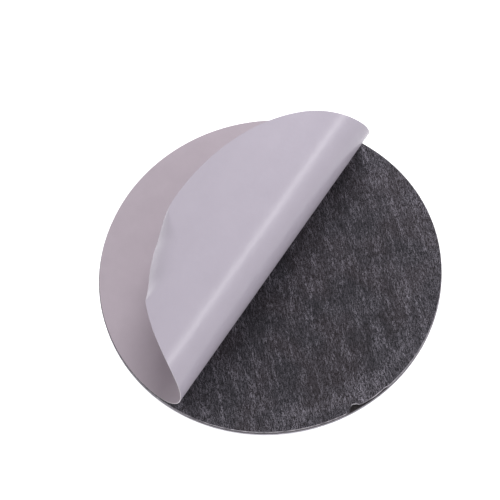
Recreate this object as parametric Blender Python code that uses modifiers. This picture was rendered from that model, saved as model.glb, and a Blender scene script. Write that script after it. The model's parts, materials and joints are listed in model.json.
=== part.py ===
"""Self-adhesive swivel caster, with its release liner half peeled.

Units are metres. The origin is the middle of the adhesive face, +Z points out of the adhesive towards
the furniture that the caster sticks to, and the wheel is below. The liner's fold runs along X: the
adhesive is bare on the -Y side and still covered on the +Y side. At rest the wheel trails towards +Y.
"""

import math

import bmesh
import bpy
from mathutils import Matrix, Vector

# Adhesive pad, from the bonding face down
PAD_DIAMETER = 0.0600
TAPE_THICKNESS = 0.00030
FOAM_THICKNESS = 0.00064
BOND_THICKNESS = 0.00038
SEAT_GAP = 0.00002

# Release liner: where it lifts off, and the arcs of the paper from there to its free edge
LINER_THICKNESS = 0.00012
PEEL_START = 0.0089
LEAD_RADIUS = 0.0600
LEAD_SWEEP = 5.5
ROLL_RADIUS = 0.0061
ROLL_SWEEP = 120.0
SHOULDER_RADIUS = 0.0099
SHOULDER_SWEEP = 57.5
TAIL_RADIUS = 0.0285

# Mounting plate
PLATE_INSET = 0.00060
PLATE_THICKNESS = 0.0010
DISH_WALL_RUN = 0.0020
DISH_MARGIN = 0.0015

# Kingpin and its washers
KINGPIN_DIAMETER = 0.0045
KINGPIN_CLEARANCE = 0.00008
HEAD_OVERHANG = 0.0021
HEAD_HEIGHT = 0.0013
HEAD_RECESS = 0.0007
TAIL_OVERHANG = 0.0016
TAIL_HEIGHT = 0.0014
TAIL_DOME = 0.0005
THRUST_WASHER_THICKNESS = 0.0008
RIVET_WASHER_THICKNESS = 0.0006

# Swivel race
BALL_DIAMETER = 0.0030
BALL_COUNT = 8
BALL_CLEARANCE = 0.0001
HEAD_TO_RACE = 0.0007
CAGE_THICKNESS = 0.0008
CAGE_CLEARANCE = 0.00035
CAGE_WALL = 0.0005

# Fork
FORK_THICKNESS = 0.0012
FORK_INNER_BEND = 0.0014
CROWN_RADIUS = 0.0126
LEG_TOP_WIDTH = 0.0170
AXLE_BOSS_RADIUS = 0.0046
TRAIL = 0.0080

# Wheel
WHEEL_DIAMETER = 0.0250
WHEEL_HEADROOM = 0.0011
TREAD_WIDTH = 0.0130
TREAD_THICKNESS = 0.0030
TREAD_CROWN = 0.0005
TREAD_SHOULDER = 0.0014
RIM_THICKNESS = 0.0014
RIM_MARGIN = 0.0007
HUB_LENGTH = 0.0166
HUB_WALL = 0.0014
WEB_THICKNESS = 0.0024
WEB_HOLES = 6
WEB_HOLE_MARGIN = 0.0005

# Axle
AXLE_DIAMETER = 0.0040
AXLE_CLEARANCE = 0.0001
SLEEVE_WALL = 0.0009
RUNNING_CLEARANCE = 0.00008
BUSH_WALL = 0.0010
BUSH_LENGTH = 0.0050
BUSH_FLANGE_WIDTH = 0.0012
BUSH_FLANGE_THICKNESS = 0.0008
AXLE_WASHER_WIDTH = 0.0020
AXLE_WASHER_THICKNESS = 0.0006
SIDE_PLAY = 0.0001
HEX_FLATS = 0.0070
BOLT_HEAD_HEIGHT = 0.0028
NUT_HEIGHT = 0.0032
NUT_COLLAR_WALL = 0.0009
NUT_COLLAR_HEIGHT = 0.0013
BOLT_END = 0.0008

# Facets of the round shapes, and how far a cutter runs past what it cuts
PAD_FACETS = 96
PLATE_FACETS = 64
RACE_FACETS = 40
ROUND_FACETS = 32
WHEEL_FACETS = 48
BALL_FACETS = 12
ARC_STEPS = 6
CIRCLE_STEPS = 24
LINER_ROWS = 72
LINER_COLUMNS = 6
SHARP_ANGLE = math.radians(35.0)
MERGE_DISTANCE = 1e-7
CUT_PAST = 0.0010

# Levels of the pad's layers
pad_radius = PAD_DIAMETER / 2
foam_top = -TAPE_THICKNESS - SEAT_GAP
bond_top = foam_top - FOAM_THICKNESS - SEAT_GAP
plate_top = bond_top - BOND_THICKNESS - SEAT_GAP
plate_under = plate_top - PLATE_THICKNESS

# Swivel race: the ball circle lies just outside the kingpin's head, and both races hug the balls
kingpin_radius = KINGPIN_DIAMETER / 2
kingpin_hole = kingpin_radius + KINGPIN_CLEARANCE
head_radius = kingpin_radius + HEAD_OVERHANG
dish_top = plate_top - HEAD_HEIGHT - HEAD_RECESS
dish_under = dish_top - PLATE_THICKNESS
race_gap = CAGE_THICKNESS + 2 * CAGE_CLEARANCE
ball_radius = BALL_DIAMETER / 2
groove_radius = ball_radius + BALL_CLEARANCE
plate_ridge_radius = groove_radius + PLATE_THICKNESS
plate_ridge_rise = race_gap / 2 + PLATE_THICKNESS
plate_ridge_half = math.sqrt(plate_ridge_radius**2 - plate_ridge_rise**2)
race_radius = head_radius + HEAD_TO_RACE + plate_ridge_half
ball_z = dish_under - race_gap / 2
race_center = (race_radius, ball_z)
crown_top = ball_z - race_gap / 2
crown_under = crown_top - FORK_THICKNESS

# Retaining stack under the crown
thrust_top = crown_under - SEAT_GAP
rivet_washer_top = thrust_top - THRUST_WASHER_THICKNESS - SEAT_GAP
tail_top = rivet_washer_top - RIVET_WASHER_THICKNESS - SEAT_GAP
kingpin_bottom = tail_top - TAIL_HEIGHT

# Wheel and axle, from the bolt outwards and from the wheel's middle to the fork's legs
wheel_radius = WHEEL_DIAMETER / 2
axle_z = kingpin_bottom - WHEEL_HEADROOM - wheel_radius
axle_point = Vector((0, TRAIL, axle_z))
axle_radius = AXLE_DIAMETER / 2
axle_hole = axle_radius + AXLE_CLEARANCE
sleeve_radius = axle_hole + SLEEVE_WALL
bush_bore = sleeve_radius + RUNNING_CLEARANCE
bush_radius = bush_bore + BUSH_WALL
hub_bore = bush_radius + SEAT_GAP
barrel_radius = hub_bore + HUB_WALL
rim_radius = wheel_radius - TREAD_THICKNESS
hub_half = HUB_LENGTH / 2
flange_inner = hub_half + SEAT_GAP
flange_outer = flange_inner + BUSH_FLANGE_THICKNESS
washer_inner = flange_outer + SIDE_PLAY
washer_outer = washer_inner + AXLE_WASHER_THICKNESS
leg_inner = washer_outer + SIDE_PLAY
leg_outer = leg_inner + FORK_THICKNESS
hex_radius = HEX_FLATS / 2 / math.cos(math.pi / 6)


def new_collection(name):
    collection = bpy.data.collections.new(name)
    bpy.context.scene.collection.children.link(collection)
    return collection


def material(name, color, roughness, metallic):
    made = bpy.data.materials.new(name)
    made.use_nodes = True
    shader = made.node_tree.nodes["Principled BSDF"]
    shader.inputs["Base Color"].default_value = (*color, 1.0)
    shader.inputs["Roughness"].default_value = roughness
    shader.inputs["Metallic"].default_value = metallic
    return made


def add_empty(name, place=(0, 0, 0), turn=(0, 0, 0), parent=None):
    empty = bpy.data.objects.new(name, None)
    empty.empty_display_size = ball_radius
    empty.parent = parent
    empty.location = place
    empty.rotation_euler = turn
    parts.objects.link(empty)
    return empty


def add_object(name, mesh, finish=None, parent=None, place=(0, 0, 0), turn=(0, 0, 0)):
    """A named piece with its finish or, with no finish, a cutter."""
    obj = bpy.data.objects.new(name, mesh)
    obj.parent = parent
    obj.location = place
    obj.rotation_euler = turn
    if finish:
        mesh.materials.clear()
        mesh.materials.append(finish)
        parts.objects.link(obj)
    else:
        cutters.objects.link(obj)
        obj.hide_render = True
        obj.display_type = "WIRE"
    return obj


def shade(mesh):
    mesh.shade_smooth()
    mesh.set_sharp_from_angle(angle=SHARP_ANGLE)


def applied(obj):
    """The object with its modifiers made its mesh, shaded smooth between sharp edges."""
    finishes = list(obj.data.materials)
    depsgraph = bpy.context.evaluated_depsgraph_get()
    mesh = bpy.data.meshes.new_from_object(obj.evaluated_get(depsgraph))
    obj.modifiers.clear()
    obj.data = mesh
    mesh.materials.clear()
    for finish in finishes:
        mesh.materials.append(finish)
    shade(mesh)
    return obj


def boolean(obj, operation, other):
    cut = obj.modifiers.new(other.name, "BOOLEAN")
    cut.operation = operation
    cut.solver = "EXACT"
    cut.object = other


def mesh_of(name, shape):
    mesh = bpy.data.meshes.new(name)
    shape.to_mesh(mesh)
    shape.free()
    return mesh


def turned(name, profile, facets, **placing):
    """Points of (radius, height), down the outer side, turned about Z. Off the axis they close."""
    mesh = bpy.data.meshes.new(name)
    points = [(radius, 0, height) for radius, height in profile]
    edges = [(i, i + 1) for i in range(len(points) - 1)]
    if profile[0][0] > 0:
        edges.append((len(points) - 1, 0))
    mesh.from_pydata(points, edges, [])
    obj = add_object(name, mesh, **placing)
    screw = obj.modifiers.new("turn", "SCREW")
    screw.axis = "Z"
    screw.steps = facets
    screw.render_steps = facets
    screw.use_merge_vertices = True
    screw.merge_threshold = MERGE_DISTANCE
    return applied(obj)


def ring(inner, outer, bottom, top):
    return [(outer, top), (outer, bottom), (inner, bottom), (inner, top)]


def arc(center, radius, start, end, steps=ARC_STEPS):
    """Points on a circle from one angle to another, in radians."""
    angles = [start + (end - start) * i / steps for i in range(steps + 1)]
    return [(center[0] + radius * math.cos(a), center[1] + radius * math.sin(a)) for a in angles]


def outline_solid(name, outline, half_depth, axes, **placing):
    """A flat outline made a solid. The axes are the directions of its u, its v and its depth."""
    curve = bpy.data.curves.new(name, "CURVE")
    curve.dimensions = "2D"
    curve.fill_mode = "BOTH"
    curve.extrude = half_depth
    spline = curve.splines.new("POLY")
    spline.points.add(len(outline) - 1)
    for point, (u, v) in zip(spline.points, outline):
        point.co = (u, v, 0, 1)
    spline.use_cyclic_u = True
    flat = bpy.data.objects.new(name, curve)
    cutters.objects.link(flat)
    depsgraph = bpy.context.evaluated_depsgraph_get()
    mesh = bpy.data.meshes.new_from_object(flat.evaluated_get(depsgraph))
    bpy.data.objects.remove(flat, do_unlink=True)
    shape = bmesh.new()
    shape.from_mesh(mesh)
    bmesh.ops.remove_doubles(shape, verts=shape.verts, dist=MERGE_DISTANCE)
    bmesh.ops.transform(shape, matrix=Matrix(axes).transposed().to_4x4(), verts=shape.verts)
    bmesh.ops.recalc_face_normals(shape, faces=shape.faces)
    return add_object(name, mesh_of(name, shape), **placing)


def cylinders(name, radius, length, facets, middles, **placing):
    """Upright cylinders of one size, in one mesh, each centred on a point."""
    shape = bmesh.new()
    for middle in middles:
        bmesh.ops.create_cone(
            shape,
            cap_ends=True,
            segments=facets,
            radius1=radius,
            radius2=radius,
            depth=length,
            matrix=Matrix.Translation(middle),
        )
    return add_object(name, mesh_of(name, shape), **placing)


def around(count, radius, height):
    """Points spaced evenly on a level circle about Z."""
    angles = [math.tau * i / count for i in range(count)]
    return [Vector((radius * math.cos(a), radius * math.sin(a), height)) for a in angles]


def pad_layer(name, top, thickness, finish):
    obj = cylinders(name, pad_radius, thickness, PAD_FACETS, [(0, 0, top - thickness / 2)], finish=finish)
    shade(obj.data)


def peel_point(distance):
    """Where the paper lies at a distance past the line where it lifts, as travel and height."""
    travel = 0.0
    height = 0.0
    heading = 0.0
    arcs = (
        (LEAD_RADIUS, LEAD_RADIUS * math.radians(LEAD_SWEEP)),
        (ROLL_RADIUS, ROLL_RADIUS * math.radians(ROLL_SWEEP)),
        (SHOULDER_RADIUS, SHOULDER_RADIUS * math.radians(SHOULDER_SWEEP)),
        (TAIL_RADIUS, math.inf),
    )
    for radius, length in arcs:
        step = min(distance, length)
        new_heading = heading + step / radius
        travel += radius * (math.sin(new_heading) - math.sin(heading))
        height += radius * (math.cos(heading) - math.cos(new_heading))
        heading = new_heading
        distance -= step
    return travel, height


def release_liner():
    """A round paper: a square grid drawn in to a disc, then rolled back along the peel."""
    shape = bmesh.new()
    bmesh.ops.create_grid(shape, x_segments=LINER_COLUMNS, y_segments=LINER_ROWS, size=1.0)
    for vert in shape.verts:
        row_angle = math.pi * (1 - vert.co.y) / 2
        across = vert.co.x * pad_radius * math.sin(row_angle)
        from_middle = pad_radius * math.cos(row_angle)
        travel, height = peel_point(max(0.0, PEEL_START - from_middle))
        lies_at = max(from_middle, PEEL_START) - travel
        vert.co = (across, lies_at, height + SEAT_GAP)
    bmesh.ops.remove_doubles(shape, verts=shape.verts, dist=MERGE_DISTANCE)
    obj = add_object("release_liner", mesh_of("release_liner", shape), finish=liner_paper)
    paper = obj.modifiers.new("paper", "SOLIDIFY")
    paper.thickness = LINER_THICKNESS
    paper.offset = 1.0
    applied(obj)


def mounting_plate():
    """A pressed disc: its dished middle holds the rivet's head, with a ball groove pressed up in it."""
    groove_lift = math.asin(race_gap / 2 / groove_radius)
    ridge_lift = math.asin(plate_ridge_rise / plate_ridge_radius)
    floor_edge = race_radius + plate_ridge_half + DISH_MARGIN
    wall_edge = floor_edge + DISH_WALL_RUN
    rim = pad_radius - PLATE_INSET
    profile = [(rim, plate_top), (rim, plate_under), (wall_edge, plate_under), (floor_edge, dish_under)]
    profile += arc(race_center, groove_radius, groove_lift, math.pi - groove_lift)
    profile += [(kingpin_hole, dish_under), (kingpin_hole, dish_top)]
    profile += arc(race_center, plate_ridge_radius, math.pi - ridge_lift, ridge_lift)
    profile += [(floor_edge, dish_top), (wall_edge, plate_top)]
    turned("mounting_plate", profile, PLATE_FACETS, finish=plate_steel)


def kingpin():
    """A rivet: its flat head lies in the plate's dish, and its end is peened to a dome."""
    head_under = dish_top + SEAT_GAP
    head_top = head_under + HEAD_HEIGHT
    tail_radius = kingpin_radius + TAIL_OVERHANG
    profile = [
        (0, head_top),
        (head_radius, head_top),
        (head_radius, head_under),
        (kingpin_radius, head_under),
        (kingpin_radius, tail_top),
        (tail_radius, tail_top),
        (tail_radius, kingpin_bottom + TAIL_DOME),
        (tail_radius - TAIL_DOME, kingpin_bottom),
        (0, kingpin_bottom),
    ]
    turned("kingpin", profile, ROUND_FACETS, finish=zinc)


def kingpin_washers():
    for name, top, thickness, finish in (
        ("thrust_washer", thrust_top, THRUST_WASHER_THICKNESS, nylon),
        ("rivet_washer", rivet_washer_top, RIVET_WASHER_THICKNESS, zinc),
    ):
        turned(name, ring(kingpin_hole, head_radius, top - thickness, top), ROUND_FACETS, finish=finish)


def ball_cage(cage_axis):
    half_width = groove_radius + CAGE_WALL
    half_height = CAGE_THICKNESS / 2
    profile = ring(race_radius - half_width, race_radius + half_width, -half_height, half_height)
    level = (0, 0, ball_z)
    cage = turned("ball_cage", profile, RACE_FACETS, finish=brass, parent=cage_axis, place=level)
    middles = around(BALL_COUNT, race_radius, ball_z)
    pockets = cylinders("cage_pockets", groove_radius, CAGE_THICKNESS + CUT_PAST, CIRCLE_STEPS, middles)
    boolean(cage, "DIFFERENCE", pockets)
    applied(cage)


def bearing_balls(cage_axis):
    shape = bmesh.new()
    bmesh.ops.create_uvsphere(
        shape, u_segments=BALL_FACETS, v_segments=BALL_FACETS * 2 // 3, radius=ball_radius
    )
    mesh = mesh_of("bearing_ball", shape)
    mesh.shade_smooth()
    for number, middle in enumerate(around(BALL_COUNT, race_radius, ball_z), start=1):
        add_object(f"bearing_ball_{number}", mesh, finish=ball_steel, parent=cage_axis, place=middle)


def fork_channel_outline():
    """The section of the bent strip, seen along Y: two legs and the crown, with bent corners."""
    bend_x = leg_inner - FORK_INNER_BEND
    bend_z = crown_under - FORK_INNER_BEND
    outer_bend = FORK_INNER_BEND + FORK_THICKNESS
    low = axle_z - AXLE_BOSS_RADIUS - CUT_PAST
    quarter = math.pi / 2
    outline = [(leg_outer, low)]
    outline += arc((bend_x, bend_z), outer_bend, 0, quarter)
    outline += arc((-bend_x, bend_z), outer_bend, quarter, math.pi)
    outline += [(-leg_outer, low), (-leg_inner, low)]
    outline += arc((-bend_x, bend_z), FORK_INNER_BEND, math.pi, quarter)
    outline += arc((bend_x, bend_z), FORK_INNER_BEND, quarter, 0)
    outline += [(leg_inner, low)]
    return outline


def tangent_angle(point, center, radius, side):
    """The angle on a circle where a line from an outside point touches it, on one side."""
    reach = Vector(point) - Vector(center)
    return math.atan2(reach.y, reach.x) + side * math.acos(radius / reach.length)


def fork_side_outline():
    """The legs seen along X: square at the crown, drawn in to a round end about the axle."""
    half_top = LEG_TOP_WIDTH / 2
    shoulder_z = crown_under - FORK_INNER_BEND
    above = crown_top + CUT_PAST
    axle = (TRAIL, axle_z)
    rear = tangent_angle((half_top, shoulder_z), axle, AXLE_BOSS_RADIUS, -1)
    front = tangent_angle((-half_top, shoulder_z), axle, AXLE_BOSS_RADIUS, 1) - math.tau
    outline = [(-half_top, shoulder_z), (-half_top, above), (half_top, above), (half_top, shoulder_z)]
    outline += arc(axle, AXLE_BOSS_RADIUS, rear, front, 2 * ARC_STEPS)
    return outline


def fork(swivel_axis):
    """One pressed piece: a bent strip, cut to its side view, with the lower ball groove in its crown."""
    seen_along_y = ((1, 0, 0), (0, 0, 1), (0, -1, 0))
    seen_along_x = ((0, 1, 0), (0, 0, 1), (1, 0, 0))
    longest = max(CROWN_RADIUS, LEG_TOP_WIDTH, TRAIL + AXLE_BOSS_RADIUS) + CUT_PAST
    strip = outline_solid(
        "fork", fork_channel_outline(), longest, seen_along_y, finish=zinc, parent=swivel_axis
    )
    blank = outline_solid("fork_blank", fork_side_outline(), leg_outer + CUT_PAST, seen_along_x)
    crown_bottom = crown_under - FORK_INNER_BEND
    crown_height = crown_top + CUT_PAST - crown_bottom
    crown_middle = (0, 0, crown_bottom + crown_height / 2)
    crown = cylinders("fork_crown", CROWN_RADIUS, crown_height, RACE_FACETS, [crown_middle])
    boolean(blank, "UNION", crown)

    ridge_radius = groove_radius + FORK_THICKNESS
    ridge_dip = math.asin((race_gap / 2 + FORK_THICKNESS / 2) / ridge_radius)
    ridge_arc = arc(race_center, ridge_radius, -ridge_dip, ridge_dip - math.pi, 2 * ARC_STEPS)
    ridge = turned("fork_ridge", ridge_arc, RACE_FACETS)
    groove_circle = arc(race_center, groove_radius, 0, -math.tau, CIRCLE_STEPS)[:-1]
    groove = turned("fork_groove", groove_circle, RACE_FACETS)
    hole = cylinders(
        "fork_pin_hole", kingpin_hole, 2 * FORK_THICKNESS + CUT_PAST, ROUND_FACETS, [(0, 0, crown_under)]
    )
    bolt_hole = cylinders(
        "fork_bolt_hole",
        axle_hole,
        2 * (leg_outer + CUT_PAST),
        ROUND_FACETS,
        [(0, 0, 0)],
        place=axle_point,
        turn=along_x,
    )
    boolean(strip, "INTERSECT", blank)
    boolean(strip, "UNION", ridge)
    for cutter in (groove, hole, bolt_hole):
        boolean(strip, "DIFFERENCE", cutter)
    applied(strip)


def axle_bolt(axle_axis):
    """A hexagon bolt through both legs, its head on the +X side."""
    head_inner = leg_outer + SEAT_GAP
    head_outer = head_inner + BOLT_HEAD_HEIGHT
    end = -(leg_outer + SEAT_GAP + NUT_HEIGHT + NUT_COLLAR_HEIGHT + BOLT_END)
    head_middle = (0, 0, (head_inner + head_outer) / 2)
    bolt = cylinders(
        "axle_bolt", hex_radius, BOLT_HEAD_HEIGHT, 6, [head_middle], finish=zinc, parent=axle_axis
    )
    shank_top = head_inner + BOLT_HEAD_HEIGHT / 2
    shank_middle = (0, 0, (shank_top + end) / 2)
    shank = cylinders(
        "bolt_shank", axle_radius, shank_top - end, ROUND_FACETS, [shank_middle], parent=axle_axis
    )
    boolean(bolt, "UNION", shank)
    applied(bolt)


def axle_nut(axle_axis):
    """A lock nut: a hexagon with a round collar on its outer side."""
    hex_inner = -(leg_outer + SEAT_GAP)
    hex_outer = hex_inner - NUT_HEIGHT
    collar_outer = hex_outer - NUT_COLLAR_HEIGHT
    collar_root = hex_outer + NUT_HEIGHT / 2
    collar_radius = axle_hole + NUT_COLLAR_WALL
    nut = cylinders(
        "axle_nut", hex_radius, NUT_HEIGHT, 6, [(0, 0, (hex_inner + hex_outer) / 2)],
        finish=zinc, parent=axle_axis,
    )
    collar = cylinders(
        "nut_collar", collar_radius, collar_root - collar_outer, ROUND_FACETS,
        [(0, 0, (collar_root + collar_outer) / 2)], parent=axle_axis,
    )
    bore = cylinders(
        "nut_bore", axle_hole, hex_inner - collar_outer + 2 * CUT_PAST, ROUND_FACETS,
        [(0, 0, (hex_inner + collar_outer) / 2)], parent=axle_axis,
    )
    boolean(nut, "UNION", collar)
    boolean(nut, "DIFFERENCE", bore)
    applied(nut)


def axle_sleeve(axle_axis):
    half_length = leg_inner - SEAT_GAP
    profile = ring(axle_hole, sleeve_radius, -half_length, half_length)
    turned("axle_sleeve", profile, ROUND_FACETS, finish=zinc, parent=axle_axis)


def axle_washers(axle_axis):
    profile = ring(bush_bore, bush_bore + AXLE_WASHER_WIDTH, washer_inner, washer_outer)
    for side, turn in sides.items():
        turned(f"axle_washer_{side}", profile, ROUND_FACETS, finish=nylon, parent=axle_axis, turn=turn)


def hub_bushes(wheel_axis):
    flange_radius = bush_radius + BUSH_FLANGE_WIDTH
    inner_end = hub_half - BUSH_LENGTH
    profile = [
        (flange_radius, flange_outer),
        (flange_radius, flange_inner),
        (bush_radius, flange_inner),
        (bush_radius, inner_end),
        (bush_bore, inner_end),
        (bush_bore, flange_outer),
    ]
    for side, turn in sides.items():
        turned(f"hub_bush_{side}", profile, ROUND_FACETS, finish=nylon, parent=wheel_axis, turn=turn)


def wheel_hub(wheel_axis):
    """A barrel, a web with round holes, and the rim that the tread sits on."""
    rim_outer = rim_radius - SEAT_GAP
    rim_inner = rim_outer - RIM_THICKNESS
    rim_half = TREAD_WIDTH / 2 - RIM_MARGIN
    web_half = WEB_THICKNESS / 2
    side = [(rim_outer, rim_half), (rim_inner, rim_half), (rim_inner, web_half)]
    side += [(barrel_radius, web_half), (barrel_radius, hub_half), (hub_bore, hub_half)]
    far_side = [(radius, -height) for radius, height in side]
    profile = side[:1] + far_side + side[:0:-1]
    hub = turned("wheel_hub", profile, WHEEL_FACETS, finish=hub_black, parent=wheel_axis)
    hole_radius = (rim_inner - barrel_radius) / 2 - WEB_HOLE_MARGIN
    middles = around(WEB_HOLES, (rim_inner + barrel_radius) / 2, 0)
    holes = cylinders(
        "web_holes", hole_radius, WEB_THICKNESS + CUT_PAST, CIRCLE_STEPS // 2, middles, parent=wheel_axis
    )
    boolean(hub, "DIFFERENCE", holes)
    applied(hub)


def tread(wheel_axis):
    """The soft ring: crowned across its width, with rounded shoulders."""
    half = TREAD_WIDTH / 2
    crown_half = half - TREAD_SHOULDER
    places = [crown_half * (1 - 2 * i / ARC_STEPS) for i in range(ARC_STEPS + 1)]
    face = [(wheel_radius - TREAD_CROWN * (z / crown_half) ** 2, z) for z in places]
    side_radius = wheel_radius - TREAD_CROWN - TREAD_SHOULDER
    profile = [(side_radius, half)] + face + [(side_radius, -half), (rim_radius, -half), (rim_radius, half)]
    turned("tread", profile, WHEEL_FACETS, finish=tread_grey, parent=wheel_axis)


for leftover in list(bpy.data.objects):
    bpy.data.objects.remove(leftover, do_unlink=True)

parts = new_collection("adhesive_swivel_caster")
cutters = new_collection("cutters")

liner_paper = material("liner_paper", (0.74, 0.72, 0.77), 0.45, 0.0)
tape_charcoal = material("tape_charcoal", (0.050, 0.048, 0.053), 0.60, 0.0)
foam_black = material("foam_black", (0.022, 0.022, 0.024), 0.90, 0.0)
bond_clear = material("bond_clear", (0.55, 0.54, 0.52), 0.50, 0.0)
plate_steel = material("plate_steel", (0.62, 0.62, 0.63), 0.35, 1.0)
zinc = material("zinc", (0.64, 0.65, 0.67), 0.32, 1.0)
ball_steel = material("ball_steel", (0.72, 0.72, 0.73), 0.12, 1.0)
brass = material("brass", (0.70, 0.53, 0.27), 0.35, 1.0)
nylon = material("nylon", (0.80, 0.79, 0.75), 0.45, 0.0)
hub_black = material("hub_black", (0.030, 0.030, 0.032), 0.45, 0.0)
tread_grey = material("tread_grey", (0.20, 0.20, 0.21), 0.70, 0.0)

along_x = (0, math.pi / 2, 0)
sides = {"right": (0, 0, 0), "left": (math.pi, 0, 0)}
swivel = add_empty("swivel_axis")
cage_turn = add_empty("cage_axis")
axle = add_empty("axle_axis", axle_point, along_x, swivel)
wheel = add_empty("wheel_axis", parent=axle)

release_liner()
pad_layer("tissue_tape", 0.0, TAPE_THICKNESS, tape_charcoal)
pad_layer("foam_pad", foam_top, FOAM_THICKNESS, foam_black)
pad_layer("bond_film", bond_top, BOND_THICKNESS, bond_clear)
mounting_plate()
kingpin()
kingpin_washers()
ball_cage(cage_turn)
bearing_balls(cage_turn)
fork(swivel)
axle_bolt(axle)
axle_nut(axle)
axle_sleeve(axle)
axle_washers(axle)
wheel_hub(wheel)
tread(wheel)
hub_bushes(wheel)
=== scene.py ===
"""Finished look of the self-adhesive swivel caster.

Units are metres. The adhesive face lies at z = 0 and the wheel hangs below it. The liner's fold runs
along X: the adhesive is bare on the -Y side and still covered on the +Y side. Each piece is modelled
round the Z axis or where it lies, and rides on the body that carries it.
"""

import json
import math

import bmesh
import bpy
from mathutils import Matrix, Vector


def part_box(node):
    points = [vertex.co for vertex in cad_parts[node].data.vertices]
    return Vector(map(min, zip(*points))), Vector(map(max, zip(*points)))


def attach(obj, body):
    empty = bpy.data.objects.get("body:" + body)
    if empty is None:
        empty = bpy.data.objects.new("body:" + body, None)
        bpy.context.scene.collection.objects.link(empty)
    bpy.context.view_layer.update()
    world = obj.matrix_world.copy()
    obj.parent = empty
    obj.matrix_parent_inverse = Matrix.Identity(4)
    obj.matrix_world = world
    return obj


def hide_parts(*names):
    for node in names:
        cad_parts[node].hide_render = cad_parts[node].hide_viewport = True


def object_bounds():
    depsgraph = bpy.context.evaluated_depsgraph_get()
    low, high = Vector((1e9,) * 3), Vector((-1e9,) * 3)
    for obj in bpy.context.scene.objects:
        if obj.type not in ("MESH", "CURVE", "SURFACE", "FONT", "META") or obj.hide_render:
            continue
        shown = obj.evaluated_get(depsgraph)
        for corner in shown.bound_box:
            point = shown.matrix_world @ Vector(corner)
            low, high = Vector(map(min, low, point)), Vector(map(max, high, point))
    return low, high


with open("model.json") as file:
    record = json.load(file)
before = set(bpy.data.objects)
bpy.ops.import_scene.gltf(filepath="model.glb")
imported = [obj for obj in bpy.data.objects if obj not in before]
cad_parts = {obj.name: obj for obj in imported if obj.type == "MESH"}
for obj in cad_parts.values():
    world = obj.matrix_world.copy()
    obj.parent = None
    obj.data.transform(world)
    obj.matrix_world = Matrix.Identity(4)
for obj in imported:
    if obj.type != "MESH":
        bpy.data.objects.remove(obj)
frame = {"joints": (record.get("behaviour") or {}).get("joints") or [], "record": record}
cad_low, cad_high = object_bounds()

# The photograph's viewpoint, and how far left of and above the pad's middle it aims
VIEW_AZIMUTH = -48.2
VIEW_ELEVATION = 64.2
VIEW_ROLL = 9.55
VIEW_DISTANCE = 0.300
VIEW_LENS = 123.7
VIEW_CLIP = 0.003
AIM_LEFT = 0.00332
AIM_UP = 0.00353

# Release liner: its disc and where that lies, where it lifts off the pad, and the arcs from there on
PAPER_RADIUS = 0.03006
PAPER_ASIDE = 0.0002
PAPER_FORWARD = 0.0001
PAPER_THICKNESS = 0.00012
SEAT_GAP = 0.00002
PEEL_START = 0.00898
LEAD_RADIUS = 0.0600
LEAD_SWEEP = 5.5
ROLL_RADIUS = 0.0061
ROLL_SWEEP = 120.0
SHOULDER_RADIUS = 0.0099
SHOULDER_SWEEP = 57.5
TAIL_RADIUS = 0.0285

# The pinched stretch of the liner's free edge, by its angle round the disc from the covered side
PINCH_CREASE = -137.2
PINCH_END = -176.0
PINCH_RUN = 10.0
PINCH_FADE = 16.0
PINCH_REACH = 0.0050
PINCH_DRAW = 0.10
PINCH_DROP = 0.40

# The nick in the tape's rim, as angles round the pad and depths
NICK = (
    (-120.3, -0.0001),
    (-118.9, 0.00072),
    (-118.0, 0.00102),
    (-116.8, 0.00080),
    (-115.8, 0.00036),
    (-114.5, 0.00026),
    (-110.0, 0.00012),
    (-106.0, 0.00022),
    (-103.6, -0.0001),
)
NICK_STEP = 0.5
NICK_PAST = 0.0010

# Sides of the layers under the tape: how far they stand in or out, and how much they swell
FOAM_INSET = 0.00010
FOAM_SWELL = 0.00008
BOND_OUTSET = 0.00002
BOND_SWELL = 0.00003

# Pressed plate and swivel race
PLATE_THICKNESS = 0.0010
DISH_WALL_RUN = 0.0020
DISH_MARGIN = 0.0015
BALL_DIAMETER = 0.0030
BALL_COUNT = 8
BALL_CLEARANCE = 0.0001
CAGE_WALL = 0.0005
KINGPIN_DIAMETER = 0.0045
KINGPIN_CLEARANCE = 0.00008
TAIL_OVERHANG = 0.0016
TAIL_HEIGHT = 0.0014
TAIL_DOME = 0.0005
HEAD_HEIGHT = 0.0013
RIVET_CAP_SHARE = 0.3

# Fork
FORK_THICKNESS = 0.0012
FORK_INNER_BEND = 0.0014
LEG_TOP_WIDTH = 0.0170
AXLE_BOSS_RADIUS = 0.0046

# Wheel and axle
AXLE_DIAMETER = 0.0040
AXLE_CLEARANCE = 0.0001
SLEEVE_WALL = 0.0009
RUNNING_CLEARANCE = 0.00008
BUSH_WALL = 0.0010
BUSH_FLANGE_THICKNESS = 0.0008
HUB_WALL = 0.0014
RIM_THICKNESS = 0.0014
RIM_MARGIN = 0.0007
WEB_THICKNESS = 0.0024
WEB_HOLES = 6
WEB_HOLE_MARGIN = 0.0005
TREAD_THICKNESS = 0.0030
TREAD_CROWN = 0.0005
TREAD_SHOULDER = 0.0014
TREAD_CORNER = 0.0003
MOULD_LINE = 0.00012
SIDE_GROOVE_RADIUS = 0.01005
SIDE_GROOVE = 0.0002

# Bolt and nut
HEX_SIDES = 6
HEX_FLATS = 0.0070
HEX_CHAMFER = 30.0
HEX_FACE_SHARE = 0.96
HEX_PAST = 1.1
BOLT_HEAD_HEIGHT = 0.0028
NUT_HEIGHT = 0.0032
NUT_COLLAR_WALL = 0.0009
NUT_LIP_WALL = 0.0004
NUT_RING_DEPTH = 0.0002
THREAD_TURNS = 2
THREAD_PITCH = 0.0007
THREAD_DEPTH = 0.0004
THREAD_ROOT_AT = 0.45
THREAD_CREST_AT = 0.9

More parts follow.
